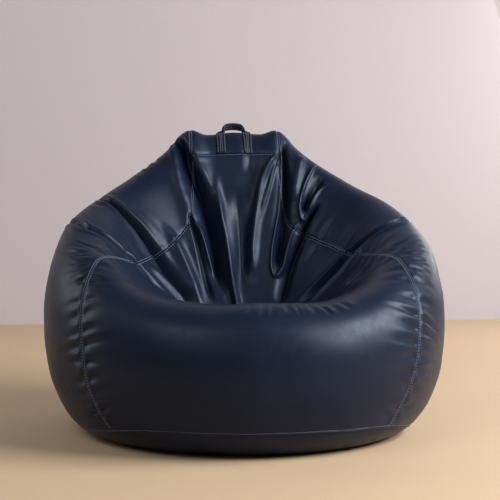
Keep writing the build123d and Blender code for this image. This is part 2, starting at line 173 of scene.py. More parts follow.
# Folds of the cover: path as turn and level, depth into the cover (- stands out), half width along the way,
# and fade at both ends. Where a fold isn't plain: shape (1 a sharp crease, 2 a soft hollow), rim beside it,
# and lean (+ steeper on the left of its run). The rim's place and width are in half widths of the fold.
plainFold = {"shape": 2.0, "rim": 0.0, "lean": 0.0, "rimPlace": 2.1, "rimWidth": 0.9}
folds = {
    "leftHornFold": dict(
        path=[(-156.5, 2.9), (-155, 3.04), (-154.5, 3.18), (-155.5, 3.29), (-158, 3.38), (-161, 3.46),
              (-163, 3.54), (-163, 3.62), (-162, 3.74)],
        depth=40, width=(8, 17, 22, 15), fade=(0.05, 0.2), shape=1.5, rim=6, lean=0.15),
    "leftDart": dict(
        path=[(-148.5, 3.38), (-150, 3.48), (-149.8, 3.56), (-149.2, 3.65), (-147, 3.75)],
        depth=20, width=(4, 8, 10, 9), fade=(0.12, 0.2), shape=1.5),
    "leftDartRidge": dict(
        path=[(-152.5, 3.43), (-154.5, 3.52), (-155.5, 3.59), (-157, 3.66)],
        depth=-9, width=(5, 6, 6), fade=(0.25, 0.25)),
    "leftGoreRidge": dict(
        path=[(-145.5, 3.38), (-147, 3.48), (-147, 3.56), (-145.5, 3.64), (-142, 3.75)],
        depth=-4, width=(6, 9, 9, 8), fade=(0.2, 0.25)),
    "leftBroadRidge": dict(
        path=[(-130, 3.34), (-133.5, 3.44), (-134.5, 3.54), (-134, 3.64), (-131, 3.75)],
        depth=-15, width=(12, 18, 18, 14), fade=(0.3, 0.3)),
    "leftShoulderFold": dict(
        path=[(-121, 2.78), (-115, 3.0), (-113.5, 3.18), (-116, 3.32), (-118.5, 3.42), (-120.5, 3.52),
              (-122.5, 3.64), (-125, 3.78)],
        depth=32, width=(5, 10, 14, 13), fade=(0.15, 0.2), shape=1.5, rim=3, lean=0.2),
    "leftArmRidge": dict(
        path=[(-101, 3.42), (-106, 3.52), (-110, 3.62), (-113, 3.74)],
        depth=-8, width=(10, 15, 13), fade=(0.3, 0.3)),
    "leftArmCrease": dict(
        path=[(-107, 2.56), (-97, 2.83), (-88, 3.06), (-88, 3.25), (-92, 3.40), (-95, 3.53), (-100, 3.66)],
        depth=12, width=(5, 7, 7, 6), fade=(0.15, 0.35), shape=1.4, rim=3, lean=0.3),
    "rightArmCrease": dict(
        path=[(103, 2.64), (96, 2.88), (92.5, 3.08), (94, 3.25), (98, 3.39), (101, 3.48), (107, 3.62),
              (113, 3.74)],
        depth=19, width=(4, 7, 11, 9), fade=(0.28, 0.25), shape=1.3, rim=6, lean=-0.3),
    "rightHornFold": dict(
        path=[(156, 3.05), (154, 3.18), (152, 3.28), (150.3, 3.38), (149, 3.47), (148.6, 3.55),
              (147.6, 3.61)],
        depth=27, width=(4, 8, 12, 8), fade=(0.1, 0.12), shape=1.5),
    "loopFoldEdge": dict(
        path=[(157.3, 3.16), (155.2, 3.23), (153.7, 3.32), (153, 3.40), (153.5, 3.49), (153.5, 3.56),
              (152, 3.605), (149, 3.628), (145.6, 3.62), (143.3, 3.58), (143.3, 3.53), (143, 3.47),
              (141.5, 3.41), (139.5, 3.37)],
        depth=-9, width=(4, 4, 4.5, 4), fade=(0.05, 0.1)),
    "rightDeepFold": dict(
        path=[(132, 3.24), (135.5, 3.35), (137, 3.45), (138.5, 3.52), (139, 3.59), (137, 3.67), (133, 3.77)],
        depth=29, width=(5, 10, 14, 12), fade=(0.15, 0.2), shape=1.5),
    "shortFoldHollow": dict(
        path=[(137, 3.06), (138, 3.18), (139, 3.27), (139, 3.335)],
        depth=20, width=(14, 10, 6), fade=(0.35, 0.1), shape=1.7),
    "shortFoldEdge": dict(
        path=[(144.5, 2.9), (142.5, 3.10), (142.6, 3.22), (142.4, 3.31), (140.5, 3.355), (138, 3.37),
              (136.3, 3.33), (136, 3.26), (135, 3.18), (132.5, 3.08)],
        depth=-9, width=(5, 4, 4, 5), fade=(0.2, 0.2)),
    "rightPanelSwell": dict(
        path=[(149, 3.0), (148, 3.12), (147, 3.24), (146, 3.34)],
        depth=-9, width=(12, 14, 10), fade=(0.2, 0.3)),
    "leftRidge": dict(
        path=[(-169, 3.27), (-168, 3.38), (-168, 3.46), (-169.5, 3.52), (-170.8, 3.6), (-172, 3.67),
              (-174, 3.78), (-176, 3.86)],
        depth=-17, width=(9, 12, 12, 11, 9), fade=(0.3, 0.12)),
    "leftRidgeStep": dict(
        path=[(-164.5, 3.40), (-165.5, 3.49), (-166.5, 3.56), (-166.8, 3.64), (-168, 3.74)],
        depth=-8, width=(5, 6, 6), fade=(0.35, 0.25)),
    "middleHollow": dict(
        path=[(180, 3.33), (178.5, 3.46), (178, 3.56), (177.5, 3.64), (175.5, 3.74)],
        depth=15, width=(18, 22, 18), fade=(0.35, 0.3), shape=1.8),
    "rightRidge": dict(
        path=[(157.8, 3.19), (161, 3.27), (164, 3.33), (165.7, 3.40), (167.2, 3.47), (168.5, 3.54),
              (168.6, 3.61), (169, 3.70)],
        depth=-18, width=(5, 12, 14, 13), fade=(0.1, 0.3)),
    "rightRidgeStep": dict(
        path=[(157.3, 3.21), (159, 3.29), (160, 3.35), (161.8, 3.41), (164, 3.48)],
        depth=-7, width=(4, 5, 5), fade=(0.15, 0.35)),
    "yokeNose": dict(
        path=[(179, 3.08), (177.8, 3.14), (176.5, 3.22), (177, 3.31)],
        depth=-2, width=(9, 12, 11), fade=(0.15, 0.4)),
    "yokeNoseHollow": dict(
        path=[(174.5, 3.08), (173, 3.14), (172, 3.22), (173, 3.3)],
        depth=3, width=(7, 10, 9), fade=(0.2, 0.3), shape=1.8),
}

# Families of small wrinkles: each lies between a first and a last path.
wrinkleFans = {
    "rightArm": dict(
        first=[(88, 2.72), (78, 2.96), (73, 3.14)], last=[(66, 2.45), (62, 2.66), (62, 2.86)],
        count=9, depth=2.2, width=5.0, seed=3),
    "leftArm": dict(
        first=[(-90, 2.72), (-80, 2.93), (-74, 3.10)], last=[(-68, 2.42), (-63, 2.62), (-62, 2.80)],
        count=7, depth=1.8, width=5.5, seed=4),
    "rightInnerArm": dict(
        first=[(82, 3.34), (78, 3.46), (80, 3.58)], last=[(36, 3.04), (40, 3.13), (44, 3.24)],
        count=10, depth=2.6, width=5.0, seed=5),
    "leftInnerArm": dict(
        first=[(-72, 3.34), (-70, 3.46), (-72, 3.58)], last=[(-40, 3.03), (-44, 3.12), (-48, 3.22)],
        count=8, depth=1.6, width=5.0, seed=6),
    "lip": dict(
        first=[(-8, 2.64), (-6, 2.82), (-5, 2.98)], last=[(33, 2.60), (31, 2.80), (31, 3.0)],
        count=9, depth=2.4, width=6.0, seed=7),
    "leftShoulder": dict(
        first=[(-112, 2.86), (-108, 2.98), (-106, 3.1)], last=[(-124, 2.86), (-122, 2.96), (-121, 3.06)],
        count=4, depth=1.6, width=6.0, seed=8),
    "rearLeftPull": dict(
        first=[(-161, 2.80), (-166, 2.60), (-172, 2.38)], last=[(-150, 2.60), (-158, 2.42), (-166, 2.22)],
        count=5, depth=2.6, width=9.0, seed=12),
    "rearRightPull": dict(
        first=[(161, 2.80), (166, 2.60), (172, 2.38)], last=[(150, 2.60), (158, 2.42), (166, 2.22)],
        count=4, depth=2.8, width=9.0, seed=13),
    "rightSideSag": dict(
        first=[(84, 1.42), (100, 1.34), (118, 1.42)], last=[(88, 1.80), (104, 1.70), (122, 1.76)],
        count=4, depth=2.6, width=10.0, seed=15),
    "leftSideSag": dict(
        first=[(-84, 1.40), (-100, 1.32), (-118, 1.40)], last=[(-88, 1.78), (-104, 1.68), (-122, 1.74)],
        count=4, depth=2.6, width=10.0, seed=16),
    "leftBackTop": dict(
        first=[(-150, 2.82), (-147, 2.95), (-146, 3.05)], last=[(-138, 2.84), (-136, 2.95), (-136, 3.04)],
        count=5, depth=2.0, width=5.0, seed=9),
}
wrinkleForm = {"sharpness": 1.6, "rim": 0.45, "rimPlace": 1.9, "fade": 0.35, "reach": 3.5}

# Seams: path as turn and level, from the base seam up. The left rear seam mirrors the right one.
frontSeams = {
    "left": [(-49, 0.70), (-51, 1.05), (-53.5, 1.6), (-54.5, 2.0), (-57.5, 2.4), (-62, 2.78), (-70, 3.12),
             (-80, 3.29), (-93, 3.40), (-115, 3.45), (-130, 3.45), (-147, 3.42), (-153, 3.34), (-157, 3.21)],
    "right": [(44, 0.66), (46, 1.0), (48.5, 1.5), (50.5, 2.0), (54, 2.35), (60, 2.76), (68, 3.05), (80, 3.26),
              (99, 3.38), (118, 3.41), (133, 3.42), (146, 3.42), (153, 3.33), (157, 3.21)],
}
rearSeam = [(138, 0.62), (138, 1.5), (140, 2.1), (145, 2.45), (152, 2.70), (160.5, 2.86)]
seamFinish = {"groove": 2.6, "grooveWidth": 4.2, "yokeGroove": 2.08, "stitchOffset": 3.4, "stitchPitch": 7.0,
              "stitchLength": 5.2, "threadRadius": 0.6}
# Puckers: depth, reach from the seam, spacing, and their strength below each share of the way up the seam.
frontPuckers = {"depth": 6.2, "reach": 58.0, "pitch": 39.0, "seed": 11,
                "strength": ((0.34, 1.2), (0.8, 0.55), (1.0, 0.2))}
rearPuckers = {"depth": 3.0, "reach": 30.0, "pitch": 30.0, "seed": 21,
               "strength": ((0.3, 0.2), (1.0, 1.2))}
yokeForm = {                                            # its seams lie between these levels
    "halfWidth": 118.0, "drop": 56.0, "fromTurn": 150.0,
    "cornerLevels": (3.2, 2.6), "innerLevels": (3.0, 3.6), "outerLevels": (2.2, 3.0)}
baseSeam = {                                            # its heights, and how they blend from the sides
    "front": 64.0, "side": 22.0, "rear": 50.0, "frontBlend": (0.25, 0.97), "rearBlend": (0.2, 0.62),
    "groove": 2.0, "grooveWidth": 4.0, "wallLean": 30.0, "topLevel": 1.5}
beadSwells = {"waves": ((220, 3.0), (110, 1.2)), "perLength": 5, "seed": 5}     # wave length and height
stillPlaces = {                                         # where the folds fade out
    "foot": (0.6, 1.0), "middle": (3.93, 3.98), "zipTurns": (40, 46), "zipLevels": (1.1, 1.5)}


def mirrored(path):
    return [(-turn, level) for turn, level in path]


def unwrapped(path):
    # turns that run on past the rear instead of jumping from 180 to -180
    turns = np.degrees(np.unwrap(np.radians([p[0] for p in path])))
    return [(t, p[1]) for t, p in zip(turns, path)]


def onWall(path, count=60):
    s = smoothPath(unwrapped(path), count)
    return wallPoint(s[:, 0], s[:, 1])


def gridLevels():
    parts = [np.linspace(k, k + 1, n, endpoint=False) for k, n in enumerate(gridFineness["levelSteps"])]
    return np.concatenate(parts + [[gridFineness["lastLevel"]]])     # the last ring stays off the middle


def gridNormals(points):
    around = np.roll(points, -1, 0) - np.roll(points, 1, 0)
    along = np.gradient(points, axis=1)
    return unit(np.cross(around, along))


columns = gridFineness["columns"]
turns = -180 + 360 * np.arange(columns) / columns
levels = gridLevels()
turnGrid, levelGrid = np.meshgrid(turns, levels, indexing="ij")
plain = wallPoint(turnGrid, levelGrid)
plainNormals = gridNormals(plain)
print("form laid out: %d by %d points" % plain.shape[:2])


def foldShape(d, share, side, fold):
    # the move at a distance from the fold's line
    width = np.interp(share, np.linspace(0, 1, len(fold["width"])), fold["width"]) * (1 - fold["lean"] * side)
    groove = -fold["depth"] * np.exp(-(d / width) ** fold["shape"])
    rim = fold["rim"] * np.exp(-((d - fold["rimPlace"] * width) / (fold["rimWidth"] * width)) ** 2)
    return groove + rim


def wrinkles(points, normals, fan):
    # for each wrinkle of a fan, the points that it moves and how far
    f = wrinkleForm
    rng = np.random.default_rng(fan["seed"])
    first, last = np.array(fan["first"], float), np.array(fan["last"], float)
    whole = np.linspace(0, 1, 30)
    for k in range(fan["count"]):
        t = (k + rng.uniform(0.2, 0.8)) / fan["count"]
        start, end = rng.uniform(-0.1, 0.25), rng.uniform(0.7, 1.1)
        run = smoothPath(first * (1 - t) + last * t, len(whole))
        along = np.linspace(start, end, len(whole))
        run = np.stack([np.interp(along, whole, run[:, c]) for c in (0, 1)], -1)
        width = fan["width"] * rng.uniform(0.7, 1.4)
        line = wallPoint(run[:, 0], run[:, 1])
        index, d, share, _, _ = nearLine(points, normals, line, f["reach"] * width)
        strength = fan["depth"] * rng.uniform(0.5, 1.2)
        fade = ease(0, f["fade"], share) * ease(0, f["fade"], 1 - share)
        rim = f["rim"] * np.exp(-((d - f["rimPlace"] * width) / width) ** 2)
        yield index, fade * strength * (rim - np.exp(-(d / width) ** f["sharpness"]))


def swells(points):
    # soft swells where the beads press: a few waves of each length
    rng = np.random.default_rng(beadSwells["seed"])
    total = np.zeros(len(points))
    for length, height in beadSwells["waves"]:
        for _ in range(beadSwells["perLength"]):
            way = unit(rng.normal(size=3))
            wave = length * rng.uniform(0.8, 1.25)
            phase = rng.uniform(0, 6.3)
            total += height / beadSwells["perLength"] * np.sin(points @ way * 2 * math.pi / wave + phase)
    return total


def baseSeamHeight(turn):
    # the base seam dips at the sides
    back = -np.cos(np.radians(turn))
    front, side, rear = baseSeam["front"], baseSeam["side"], baseSeam["rear"]
    ahead = side + (front - side) * ease(*baseSeam["frontBlend"], -back)
    behind = side + (rear - side) * ease(*baseSeam["rearBlend"], back)
    return np.where(back < 0, ahead, behind)


def levelAtHeight(turn, height, low, high):
    # where one side's profile passes a height, between two levels
    steps = np.linspace(low, high, 200)
    z = wallPoint(turn, steps)[:, 2]
    order = np.argsort(z)
    return float(np.interp(height, z[order], steps[order]))


def turnAtReach(level, reach):
    # the turn near the rear where the form lies a given distance from the middle, in a few rounds
    turn = 160.0
    for _ in range(12):
        radius = np.hypot(*wallPoint(turn, level)[:2])
        turn = 180 - math.degrees(math.asin(reach / radius))
    return turn


def yokeSeams():
    # the seams up both sides of the yoke, and across it inside and outside the crest
    low = float(stationValue(180, 3)) - yokeForm["drop"]
    edge = yokeForm["halfWidth"]
    innerCorner, outerCorner = (turnAtReach(level, edge) for level in yokeForm["cornerLevels"])
    inner = levelAtHeight(innerCorner, low, *yokeForm["innerLevels"])
    outer = levelAtHeight(outerCorner, low, *yokeForm["outerLevels"])
    side = [(turnAtReach(v, edge), v) for v in np.linspace(inner, outer, 14)]
    across = []
    for corner, span in ((side[0][0], yokeForm["innerLevels"]), (side[-1][0], yokeForm["outerLevels"])):
        across.append([(t, levelAtHeight(t, low, *span)) for t in np.linspace(corner, 360 - corner, 15)])
    return {"yokeRight": side, "yokeLeft": mirrored(side), "yokeInner": across[0], "yokeOuter": across[1]}


def puckers(points, normals, line, form, seed):
    # hollows across a seam with a small rise beside each, weak at the seam itself
    index, d, share, side, length = nearLine(points, normals, line, 3 * form["reach"])
    rng = np.random.default_rng(seed)
    move = np.zeros(len(index))
    pitch = form["pitch"]
    at = pitch * 0.5
    while at < length:
        gather = next(strength for end, strength in form["strength"] if at / length < end)
        depth = form["depth"] * rng.uniform(0.35, 1.0) * gather
        wide, long = pitch * rng.uniform(0.18, 0.30), form["reach"] * rng.uniform(0.6, 1.2)
        slant = rng.uniform(-0.1, 0.1)
        run = share * length - at + slant * d * side
        beside = (0.1 + 0.9 * ease(2, 20, d)) * np.exp(-(d / long) ** 2)
        move -= depth * np.exp(-(run / wide) ** 2) * beside
        move += 0.5 * depth * np.exp(-((run - 2 * wide) / wide) ** 2) * beside
        at += pitch * rng.uniform(0.7, 1.5)
    return index, move


def shapeCover():
    # how far each point of the plain form moves out
    points, normals = plain.reshape(-1, 3), plainNormals.reshape(-1, 3)
    move = np.zeros(len(points))
    for ownForm in folds.values():
        fold = dict(plainFold, **ownForm)
        reach = 4.5 * max(fold["width"])
        index, d, share, side, _ = nearLine(points, normals, onWall(fold["path"]), reach)
        fade = ease(0, fold["fade"][0], share) * ease(0, fold["fade"][1], 1 - share)
        move[index] += foldShape(d, share, side, fold) * fade
    for fan in wrinkleFans.values():
        for index, extra in wrinkles(points, normals, fan):
            move[index] += extra
    move += swells(points)

    grooveWidth = seamFinish["grooveWidth"]
    seams = [(onWall(path, 160), seamFinish["groove"], frontPuckers) for path in frontSeams.values()]
    for path in (mirrored(rearSeam), rearSeam):
        seams.append((onWall(path, 100), seamFinish["groove"], rearPuckers))
    seams += [(onWall(path, 80), seamFinish["yokeGroove"], None) for path in yokeSeams().values()]
    for k, (line, depth, form) in enumerate(seams):
        index, d, _, _, _ = nearLine(points, normals, line, 4 * grooveWidth)
        move[index] -= depth * np.exp(-(d / grooveWidth) ** 2)
        if form:
            index, extra = puckers(points, normals, line, form, form["seed"] + k % 2)
            move[index] += extra

    move = move.reshape(turnGrid.shape)
    still = ease(*stillPlaces["foot"], levelGrid) * (1 - ease(*stillPlaces["middle"], levelGrid))
    fromRear = 180 - np.abs(turnGrid)
    byZip = (1 - ease(*stillPlaces["zipTurns"], fromRear)) * (1 - ease(*stillPlaces["zipLevels"], levelGrid))
    seamGap = (plain[..., 2] - baseSeamHeight(turnGrid)) / math.cos(math.radians(baseSeam["wallLean"]))
    groove = baseSeam["groove"] * np.exp(-(seamGap / baseSeam["grooveWidth"]) ** 2)
    groove *= levelGrid < baseSeam["topLevel"]
    return move * still * (1 - byZip) - groove * (1 - byZip)


coverMove = shapeCover()
cover = plain + plainNormals * coverMove[..., None]
coverNormals = gridNormals(cover)
print("cover shaped")


def hexColour(code):
    # an sRGB hex code as linear light
    channels = [int(code[i:i + 2], 16) / 255 for i in (1, 3, 5)]
    return tuple(c / 12.92 if c <= 0.04045 else ((c + 0.055) / 1.055) ** 2.4 for c in channels) + (1.0,)


def addNode(tree, kind, settings=None, links=None):
    node = tree.nodes.new(kind)
    for key, value in (settings or {}).items():
        if key in node.inputs.keys() or isinstance(key, int):
            node.inputs[key].default_value = value
        else:
            setattr(node, key, value)
    for key, source in (links or {}).items():
        tree.links.new(source, node.inputs[key])
    return node


def newMaterial(name):
    material = bpy.data.materials.new(name)
    material.use_nodes = True
    tree = material.node_tree
    tree.nodes.clear()
    return material, tree


def perMetre(size):
    # texture scale of a pattern whose repeat is a size in millimetres
    return 1 / (size * mm)


noiseSpan = {"From Min": 0.3, "From Max": 0.7}                # where most of a noise's values lie
leatherLook = {                                               # patterns and heights in millimetres
    "dark": "#0b1223", "light": "#141e35", "sheenTint": "#d8e3fb", "roughness": (0.38, 0.47),
    "ior": 1.5, "specular": 0.29, "grain": 1.6, "grainHeight": 0.12, "grainStrength": 0.22,
    "creases": 15.0, "creaseHeight": 0.45, "creaseStrength": 0.18, "drift": 200.0}
# the strap: the cover's leatherette, rougher, with its colour darkened as painted shade
shadedStrapLook = dict(leatherLook, dark="#090d18", light="#0f1524", roughness=(0.5, 0.6), creases=6.0)


def leatherette(name, look):
    # polyurethane film embossed on a knitted backing: fine pebble grain, soft creasing, slow change of tone
    material, tree = newMaterial(name)
    place = {"Vector": addNode(tree, "ShaderNodeTexCoord").outputs["Object"]}
    grain = addNode(tree, "ShaderNodeTexVoronoi", {"Scale": perMetre(look["grain"])}, place)
    creasing = addNode(tree, "ShaderNodeTexNoise", {"Scale": perMetre(look["creases"]), "Detail": 4.0}, place)
    drift = addNode(tree, "ShaderNodeTexNoise", {"Scale": perMetre(look["drift"]), "Detail": 2.0}, place)
    colours = {"data_type": "RGBA", 6: hexColour(look["dark"]), 7: hexColour(look["light"])}
    tone = addNode(tree, "ShaderNodeMix", colours, {0: drift.outputs["Fac"]})
    low, high = look["roughness"]
    dullness = addNode(tree, "ShaderNodeMapRange", {**noiseSpan, "To Min": low, "To Max": high},
                       {"Value": creasing.outputs["Fac"]})
    soft = addNode(tree, "ShaderNodeBump",
                   {"Strength": look["creaseStrength"], "Distance": look["creaseHeight"] * mm},
                   {"Height": creasing.outputs["Fac"]})
    pebbled = addNode(tree, "ShaderNodeBump",
                      {"Strength": look["grainStrength"], "Distance": look["grainHeight"] * mm},
                      {"Height": grain.outputs["Distance"], "Normal": soft.outputs["Normal"]})
    gloss = {"IOR": look["ior"], "Specular IOR Level": look["specular"],
             "Specular Tint": hexColour(look["sheenTint"])}
    shader = addNode(tree, "ShaderNodeBsdfPrincipled", gloss,
                     {"Base Color": tone.outputs[2], "Roughness": dullness.outputs[0],
                      "Normal": pebbled.outputs["Normal"]})
    addNode(tree, "ShaderNodeOutputMaterial", {}, {"Surface": shader.outputs[0]})
    return material


def woven(name, light, dark, spacing, roughness=0.75):
    # crossing ribs, drawn about six times coarser than the real spacing of the threads, so that they show
    material, tree = newMaterial(name)
    place = {"Vector": addNode(tree, "ShaderNodeTexCoord").outputs["Object"]}
    scale = perMetre(spacing) / 20                            # a wave texture multiplies places by 20 itself
    warp = addNode(tree, "ShaderNodeTexWave", {"bands_direction": "DIAGONAL", "Scale": scale}, place)
    weft = addNode(tree, "ShaderNodeTexWave", {"bands_direction": "Z", "Scale": scale}, place)
    both = addNode(tree, "ShaderNodeMath", {"operation": "MULTIPLY"},
                   {0: warp.outputs["Fac"], 1: weft.outputs["Fac"]})
    colours = {"data_type": "RGBA", 6: hexColour(dark), 7: hexColour(light)}
    tone = addNode(tree, "ShaderNodeMix", colours, {0: both.outputs[0]})
    ribs = addNode(tree, "ShaderNodeBump", {"Strength": 0.5, "Distance": 0.2 * spacing * mm},
                   {"Height": both.outputs[0]})
    shader = addNode(tree, "ShaderNodeBsdfPrincipled", {"Roughness": roughness, "Sheen Weight": 0.2},
                     {"Base Color": tone.outputs[2], "Normal": ribs.outputs["Normal"]})
    addNode(tree, "ShaderNodeOutputMaterial", {}, {"Surface": shader.outputs[0]})
    return material


def mottled(name, light, dark, size, roughness, height, metallic=0.0, cells=False):
    # a colour with fine variation and bumps of a real size; cells gives rounded grains, pale in their middles
    # and darker between them as painted shade
    material, tree = newMaterial(name)
    place = {"Vector": addNode(tree, "ShaderNodeTexCoord").outputs["Object"]}
    kind, output = ("ShaderNodeTexVoronoi", "Distance") if cells else ("ShaderNodeTexNoise", "Fac")
    pattern = addNode(tree, kind, {"Scale": perMetre(size)}, place).outputs[output]
    # with cells the second colour lies in the gaps between the grains: painted shade
    first, second = (light, dark) if cells else (dark, light)
    colours = {"data_type": "RGBA", 6: hexColour(first), 7: hexColour(second)}
    tone = addNode(tree, "ShaderNodeMix", colours, {0: pattern})
    low, high = roughness
    dullness = addNode(tree, "ShaderNodeMapRange", {**noiseSpan, "To Min": low, "To Max": high},
                       {"Value": pattern})
    height = -height if cells else height
    bumps = addNode(tree, "ShaderNodeBump", {"Strength": 0.6, "Distance": height * mm}, {"Height": pattern})
    shader = addNode(tree, "ShaderNodeBsdfPrincipled", {"Metallic": metallic},
                     {"Base Color": tone.outputs[2], "Roughness": dullness.outputs[0],
                      "Normal": bumps.outputs["Normal"]})
    addNode(tree, "ShaderNodeOutputMaterial", {}, {"Surface": shader.outputs[0]})
    return material


leather = leatherette("puLeatherette", leatherLook)
strapLeather = leatherette("foldedLeatheretteStrap", shadedStrapLook)              # rougher, worn by hands, and darker: painted shade
zipTapeCloth = woven("polyesterZipTape", "#20283c", "#10141f", 0.8)          # close polyester tape, matt
# spunbond polypropylene: dry and pale, with a grid of bonding points
liningCloth = woven("spunbondLining", "#d6d5cf", "#bdbcb6", 1.0, 0.85)
patchBacking = woven("polyesterBacking", "#5b5f68", "#474b54", 0.9, 0.9)     # stiff matt cloth
# bonded polyester sewing thread, three plies: paler than the leatherette, with a faint shine
thread = mottled("bondedPolyesterThread", "#8a94ac", "#68728a", 0.6, (0.45, 0.6), 0.1)
# moulded polystyrene beads, 4 mm across: white and matt, with painted shade greying the gaps between them
beadFoam = mottled("expandedPolystyrene", "#f4f4f0", "#c9c9c4", 4.0, (0.6, 0.75), 1.2, cells=True)
# wound nylon wire: smooth and a little glossy
nylon = mottled("nylonCoil", "#2a3147", "#1b2133", 1.5, (0.35, 0.45), 0.05)
# die-cast zinc under dark paint: a dull metal shine
zinc = mottled("paintedZinc", "#272c3c", "#1a1e2b", 2.0, (0.3, 0.45), 0.05, 0.7)
# nylon loops on a tape: very matt, with painted shade darkening the gaps between the loops
hookAndLoop = mottled("hookAndLoopNylon", "#474a53", "#26282e", 1.2, (0.85, 0.95), 0.8, cells=True)


def splitBy(data, faces, fieldColumn):
    # cuts faces along the zero line of a field; returns the data with the new points, and both sets of faces
    field = data[:, fieldColumn]
    above, below, cut = [], [], []
    for f in faces:
        v = field[f]
        if (v >= 0).all():
            above.append(f)
        elif (v < 0).all():
            below.append(f)
        else:
            cut.append(f)
    extra, made = [], {}
    for f in cut:
        parts = ([], [])
        for k in range(len(f)):
            a, b = f[k], f[(k + 1) % len(f)]
            va, vb = field[a], field[b]
            parts[0 if va >= 0 else 1].append(a)
            if (va >= 0) != (vb >= 0):
                key = (min(a, b), max(a, b))
                if key not in made:
                    t = field[key[0]] / (field[key[0]] - field[key[1]])
                    row = data[key[0]] * (1 - t) + data[key[1]] * t
                    row[fieldColumn] = 0.0
                    made[key] = len(data) + len(extra)
                    extra.append(row)
                parts[0].append(made[key])
                parts[1].append(made[key])
        if len(parts[0]) > 2:
            above.append(np.array(parts[0]))
        if len(parts[1]) > 2:
            below.append(np.array(parts[1]))
    if extra:
        data = np.vstack([data, extra])
    return data, above, below


def meshPiece(name, points, faces, material):
    # an object from points in millimetres; points that no face uses are left out
    used, index = np.unique(np.concatenate([np.asarray(f) for f in faces]), return_inverse=True)
    starts = np.concatenate([[0], np.cumsum([len(f) for f in faces])])
    ownFaces = [index[starts[k]:starts[k + 1]].tolist() for k in range(len(faces))]
    mesh = bpy.data.meshes.new(name)
    mesh.from_pydata((points[used] * mm).tolist(), [], ownFaces)
    mesh.validate()
    mesh.polygons.foreach_set("use_smooth", [True] * len(mesh.polygons))
    mesh.materials.append(material)
    piece = bpy.data.objects.new(name, mesh)
    bpy.context.scene.collection.objects.link(piece)
    return piece


def thicken(piece, thickness, offset=-1):
    # gives a sheet its thickness, inwards or, with offset 0, to both sides
    sheet = piece.modifiers.new("thickness", "SOLIDIFY")
    sheet.thickness, sheet.offset = thickness * mm, offset


def rounded(piece):
    soft = piece.modifiers.new("rounding", "SUBSURF")
    soft.levels = soft.render_levels = 1


def wallFaces(across, up):
    # faces of a wall that closes on itself, from columns of points
    i, j = np.meshgrid(np.arange(across), np.arange(up - 1), indexing="ij")
    a, b = i * up + j, ((i + 1) % across) * up + j
    return list(np.stack([a, b, b + 1, a + 1], -1).reshape(-1, 4))


def topFan(across, up, centre):
    return [np.array([k * up + up - 1, ((k + 1) % across) * up + up - 1, centre]) for k in range(across)]


def footFan(across, up, centre):
    return [np.array([((k + 1) % across) * up, k * up, centre]) for k in range(across)]


def ringFaces(rings, sides, closed=False):
    # faces of a tube from rings of points; a tube that doesn't close gets both ends
    faces = []
    for k in range(rings if closed else rings - 1):
        n = (k + 1) % rings
        faces += [[k * sides + m, k * sides + (m + 1) % sides, n * sides + (m + 1) % sides, n * sides + m]
                  for m in range(sides)]
    if not closed:
        faces += [list(range(sides))[::-1], [(rings - 1) * sides + m for m in range(sides)]]
    return faces


fieldReach = 60.0                                       # how far from a seam the distance to it counts
farOutside = -500.0                                     # a field's value where its piece can't be


def signedField(path, above):
    # distance to a seam on the plain form, + where above holds
    points, normals = plain.reshape(-1, 3), plainNormals.reshape(-1, 3)
    index, d, _, _, _ = nearLine(points, normals, onWall(path, 200), fieldReach)
    field = np.full(len(points), fieldReach)
    field[index] = d
    return field.reshape(above.shape) * np.where(above, 1, -1)


def frontField():
    # + in the front panel, which reaches up to the yoke between the front seams
    belowYoke = (np.abs(turnGrid) > yokeForm["fromTurn"]) & (levelGrid > 3)
    belowYoke &= np.abs(plain[..., 0]) < yokeForm["halfWidth"]
    sides = []
    for path in frontSeams.values():
        s = smoothPath(path, 400)
        limit = np.interp(np.abs(turnGrid), np.abs(s[:, 0]), s[:, 1], left=-1, right=path[-1][1])
        sides.append(signedField(path, (levelGrid > limit) | belowYoke))
    return np.where(turnGrid < 0, *sides)


def rearField():
    # + in the rear panel, between the rear seams
    s = smoothPath(rearSeam, 300)
    limit = np.interp(levelGrid, s[:, 1], s[:, 0], left=s[0, 0], right=s[-1, 0])
    behind = (np.abs(turnGrid) > limit) & (levelGrid < 3.0)
    return np.where(turnGrid < 0, signedField(mirrored(rearSeam), behind), signedField(rearSeam, behind))


def yokeField():
    # + in the yoke, which hangs over the top of the back
    low = stationValue(180, 3) - yokeForm["drop"]
    inBand = np.minimum(yokeForm["halfWidth"] - np.abs(plain[..., 0]), plain[..., 2] - low)
    return np.minimum(inBand, plain[..., 1])


zipForm = {
    "halfAngle": 38.0, "width": 28.0, "slit": 1.8, "levels": (0.3, 1.6),
    "coilEnd": 8.0, "coilWidth": 2.6, "coilHeight": 1.6, "coilLap": 0.35, "coilLift": 0.7,
    "coilRound": (0.95, 0.75), "toothPitch": 2.1, "wireRadius": 0.42,
    "sliderGap": 0.45, "garageStart": 3.2, "garageLength": 34.0, "garageHalf": 7.4, "garageRise": 8.4,
    "garageHem": 6.0, "garageLift": 0.35, "garageRoof": (3.2, 2.4), "garageSlump": 0.06,
    "garageThickness": 1.1}


def zipFrame():
    # radius, height and outward lean of the wall at the middle of the zip
    height = baseSeam["rear"]
    for _ in range(3):
        level = levelAtHeight(180, height, *zipForm["levels"])
        (r0, z0), (r1, z1) = ((p[1], p[2]) for p in wallPoint(180, np.array([level - 0.01, level + 0.01])))
        lean = math.atan2(r1 - r0, z1 - z0)
        height = baseSeam["rear"] + zipForm["width"] / 2 * math.cos(lean)
    level = levelAtHeight(180, height, *zipForm["levels"])
    return float(wallPoint(180, level)[1]), height, lean


def zipPoint(angle, up, out):
    # a point of the zip: degrees round from the rear, millimetres up the wall and out of it
    radius, height, lean = zipFrame()
    a = np.radians(180 + np.asarray(angle, float))
    r = radius + np.asarray(up) * math.sin(lean) + np.asarray(out) * math.cos(lean)
    z = height + np.asarray(up) * math.cos(lean) - np.asarray(out) * math.sin(lean)
    return np.stack(np.broadcast_arrays(r * np.sin(a), -r * np.cos(a), z), -1)


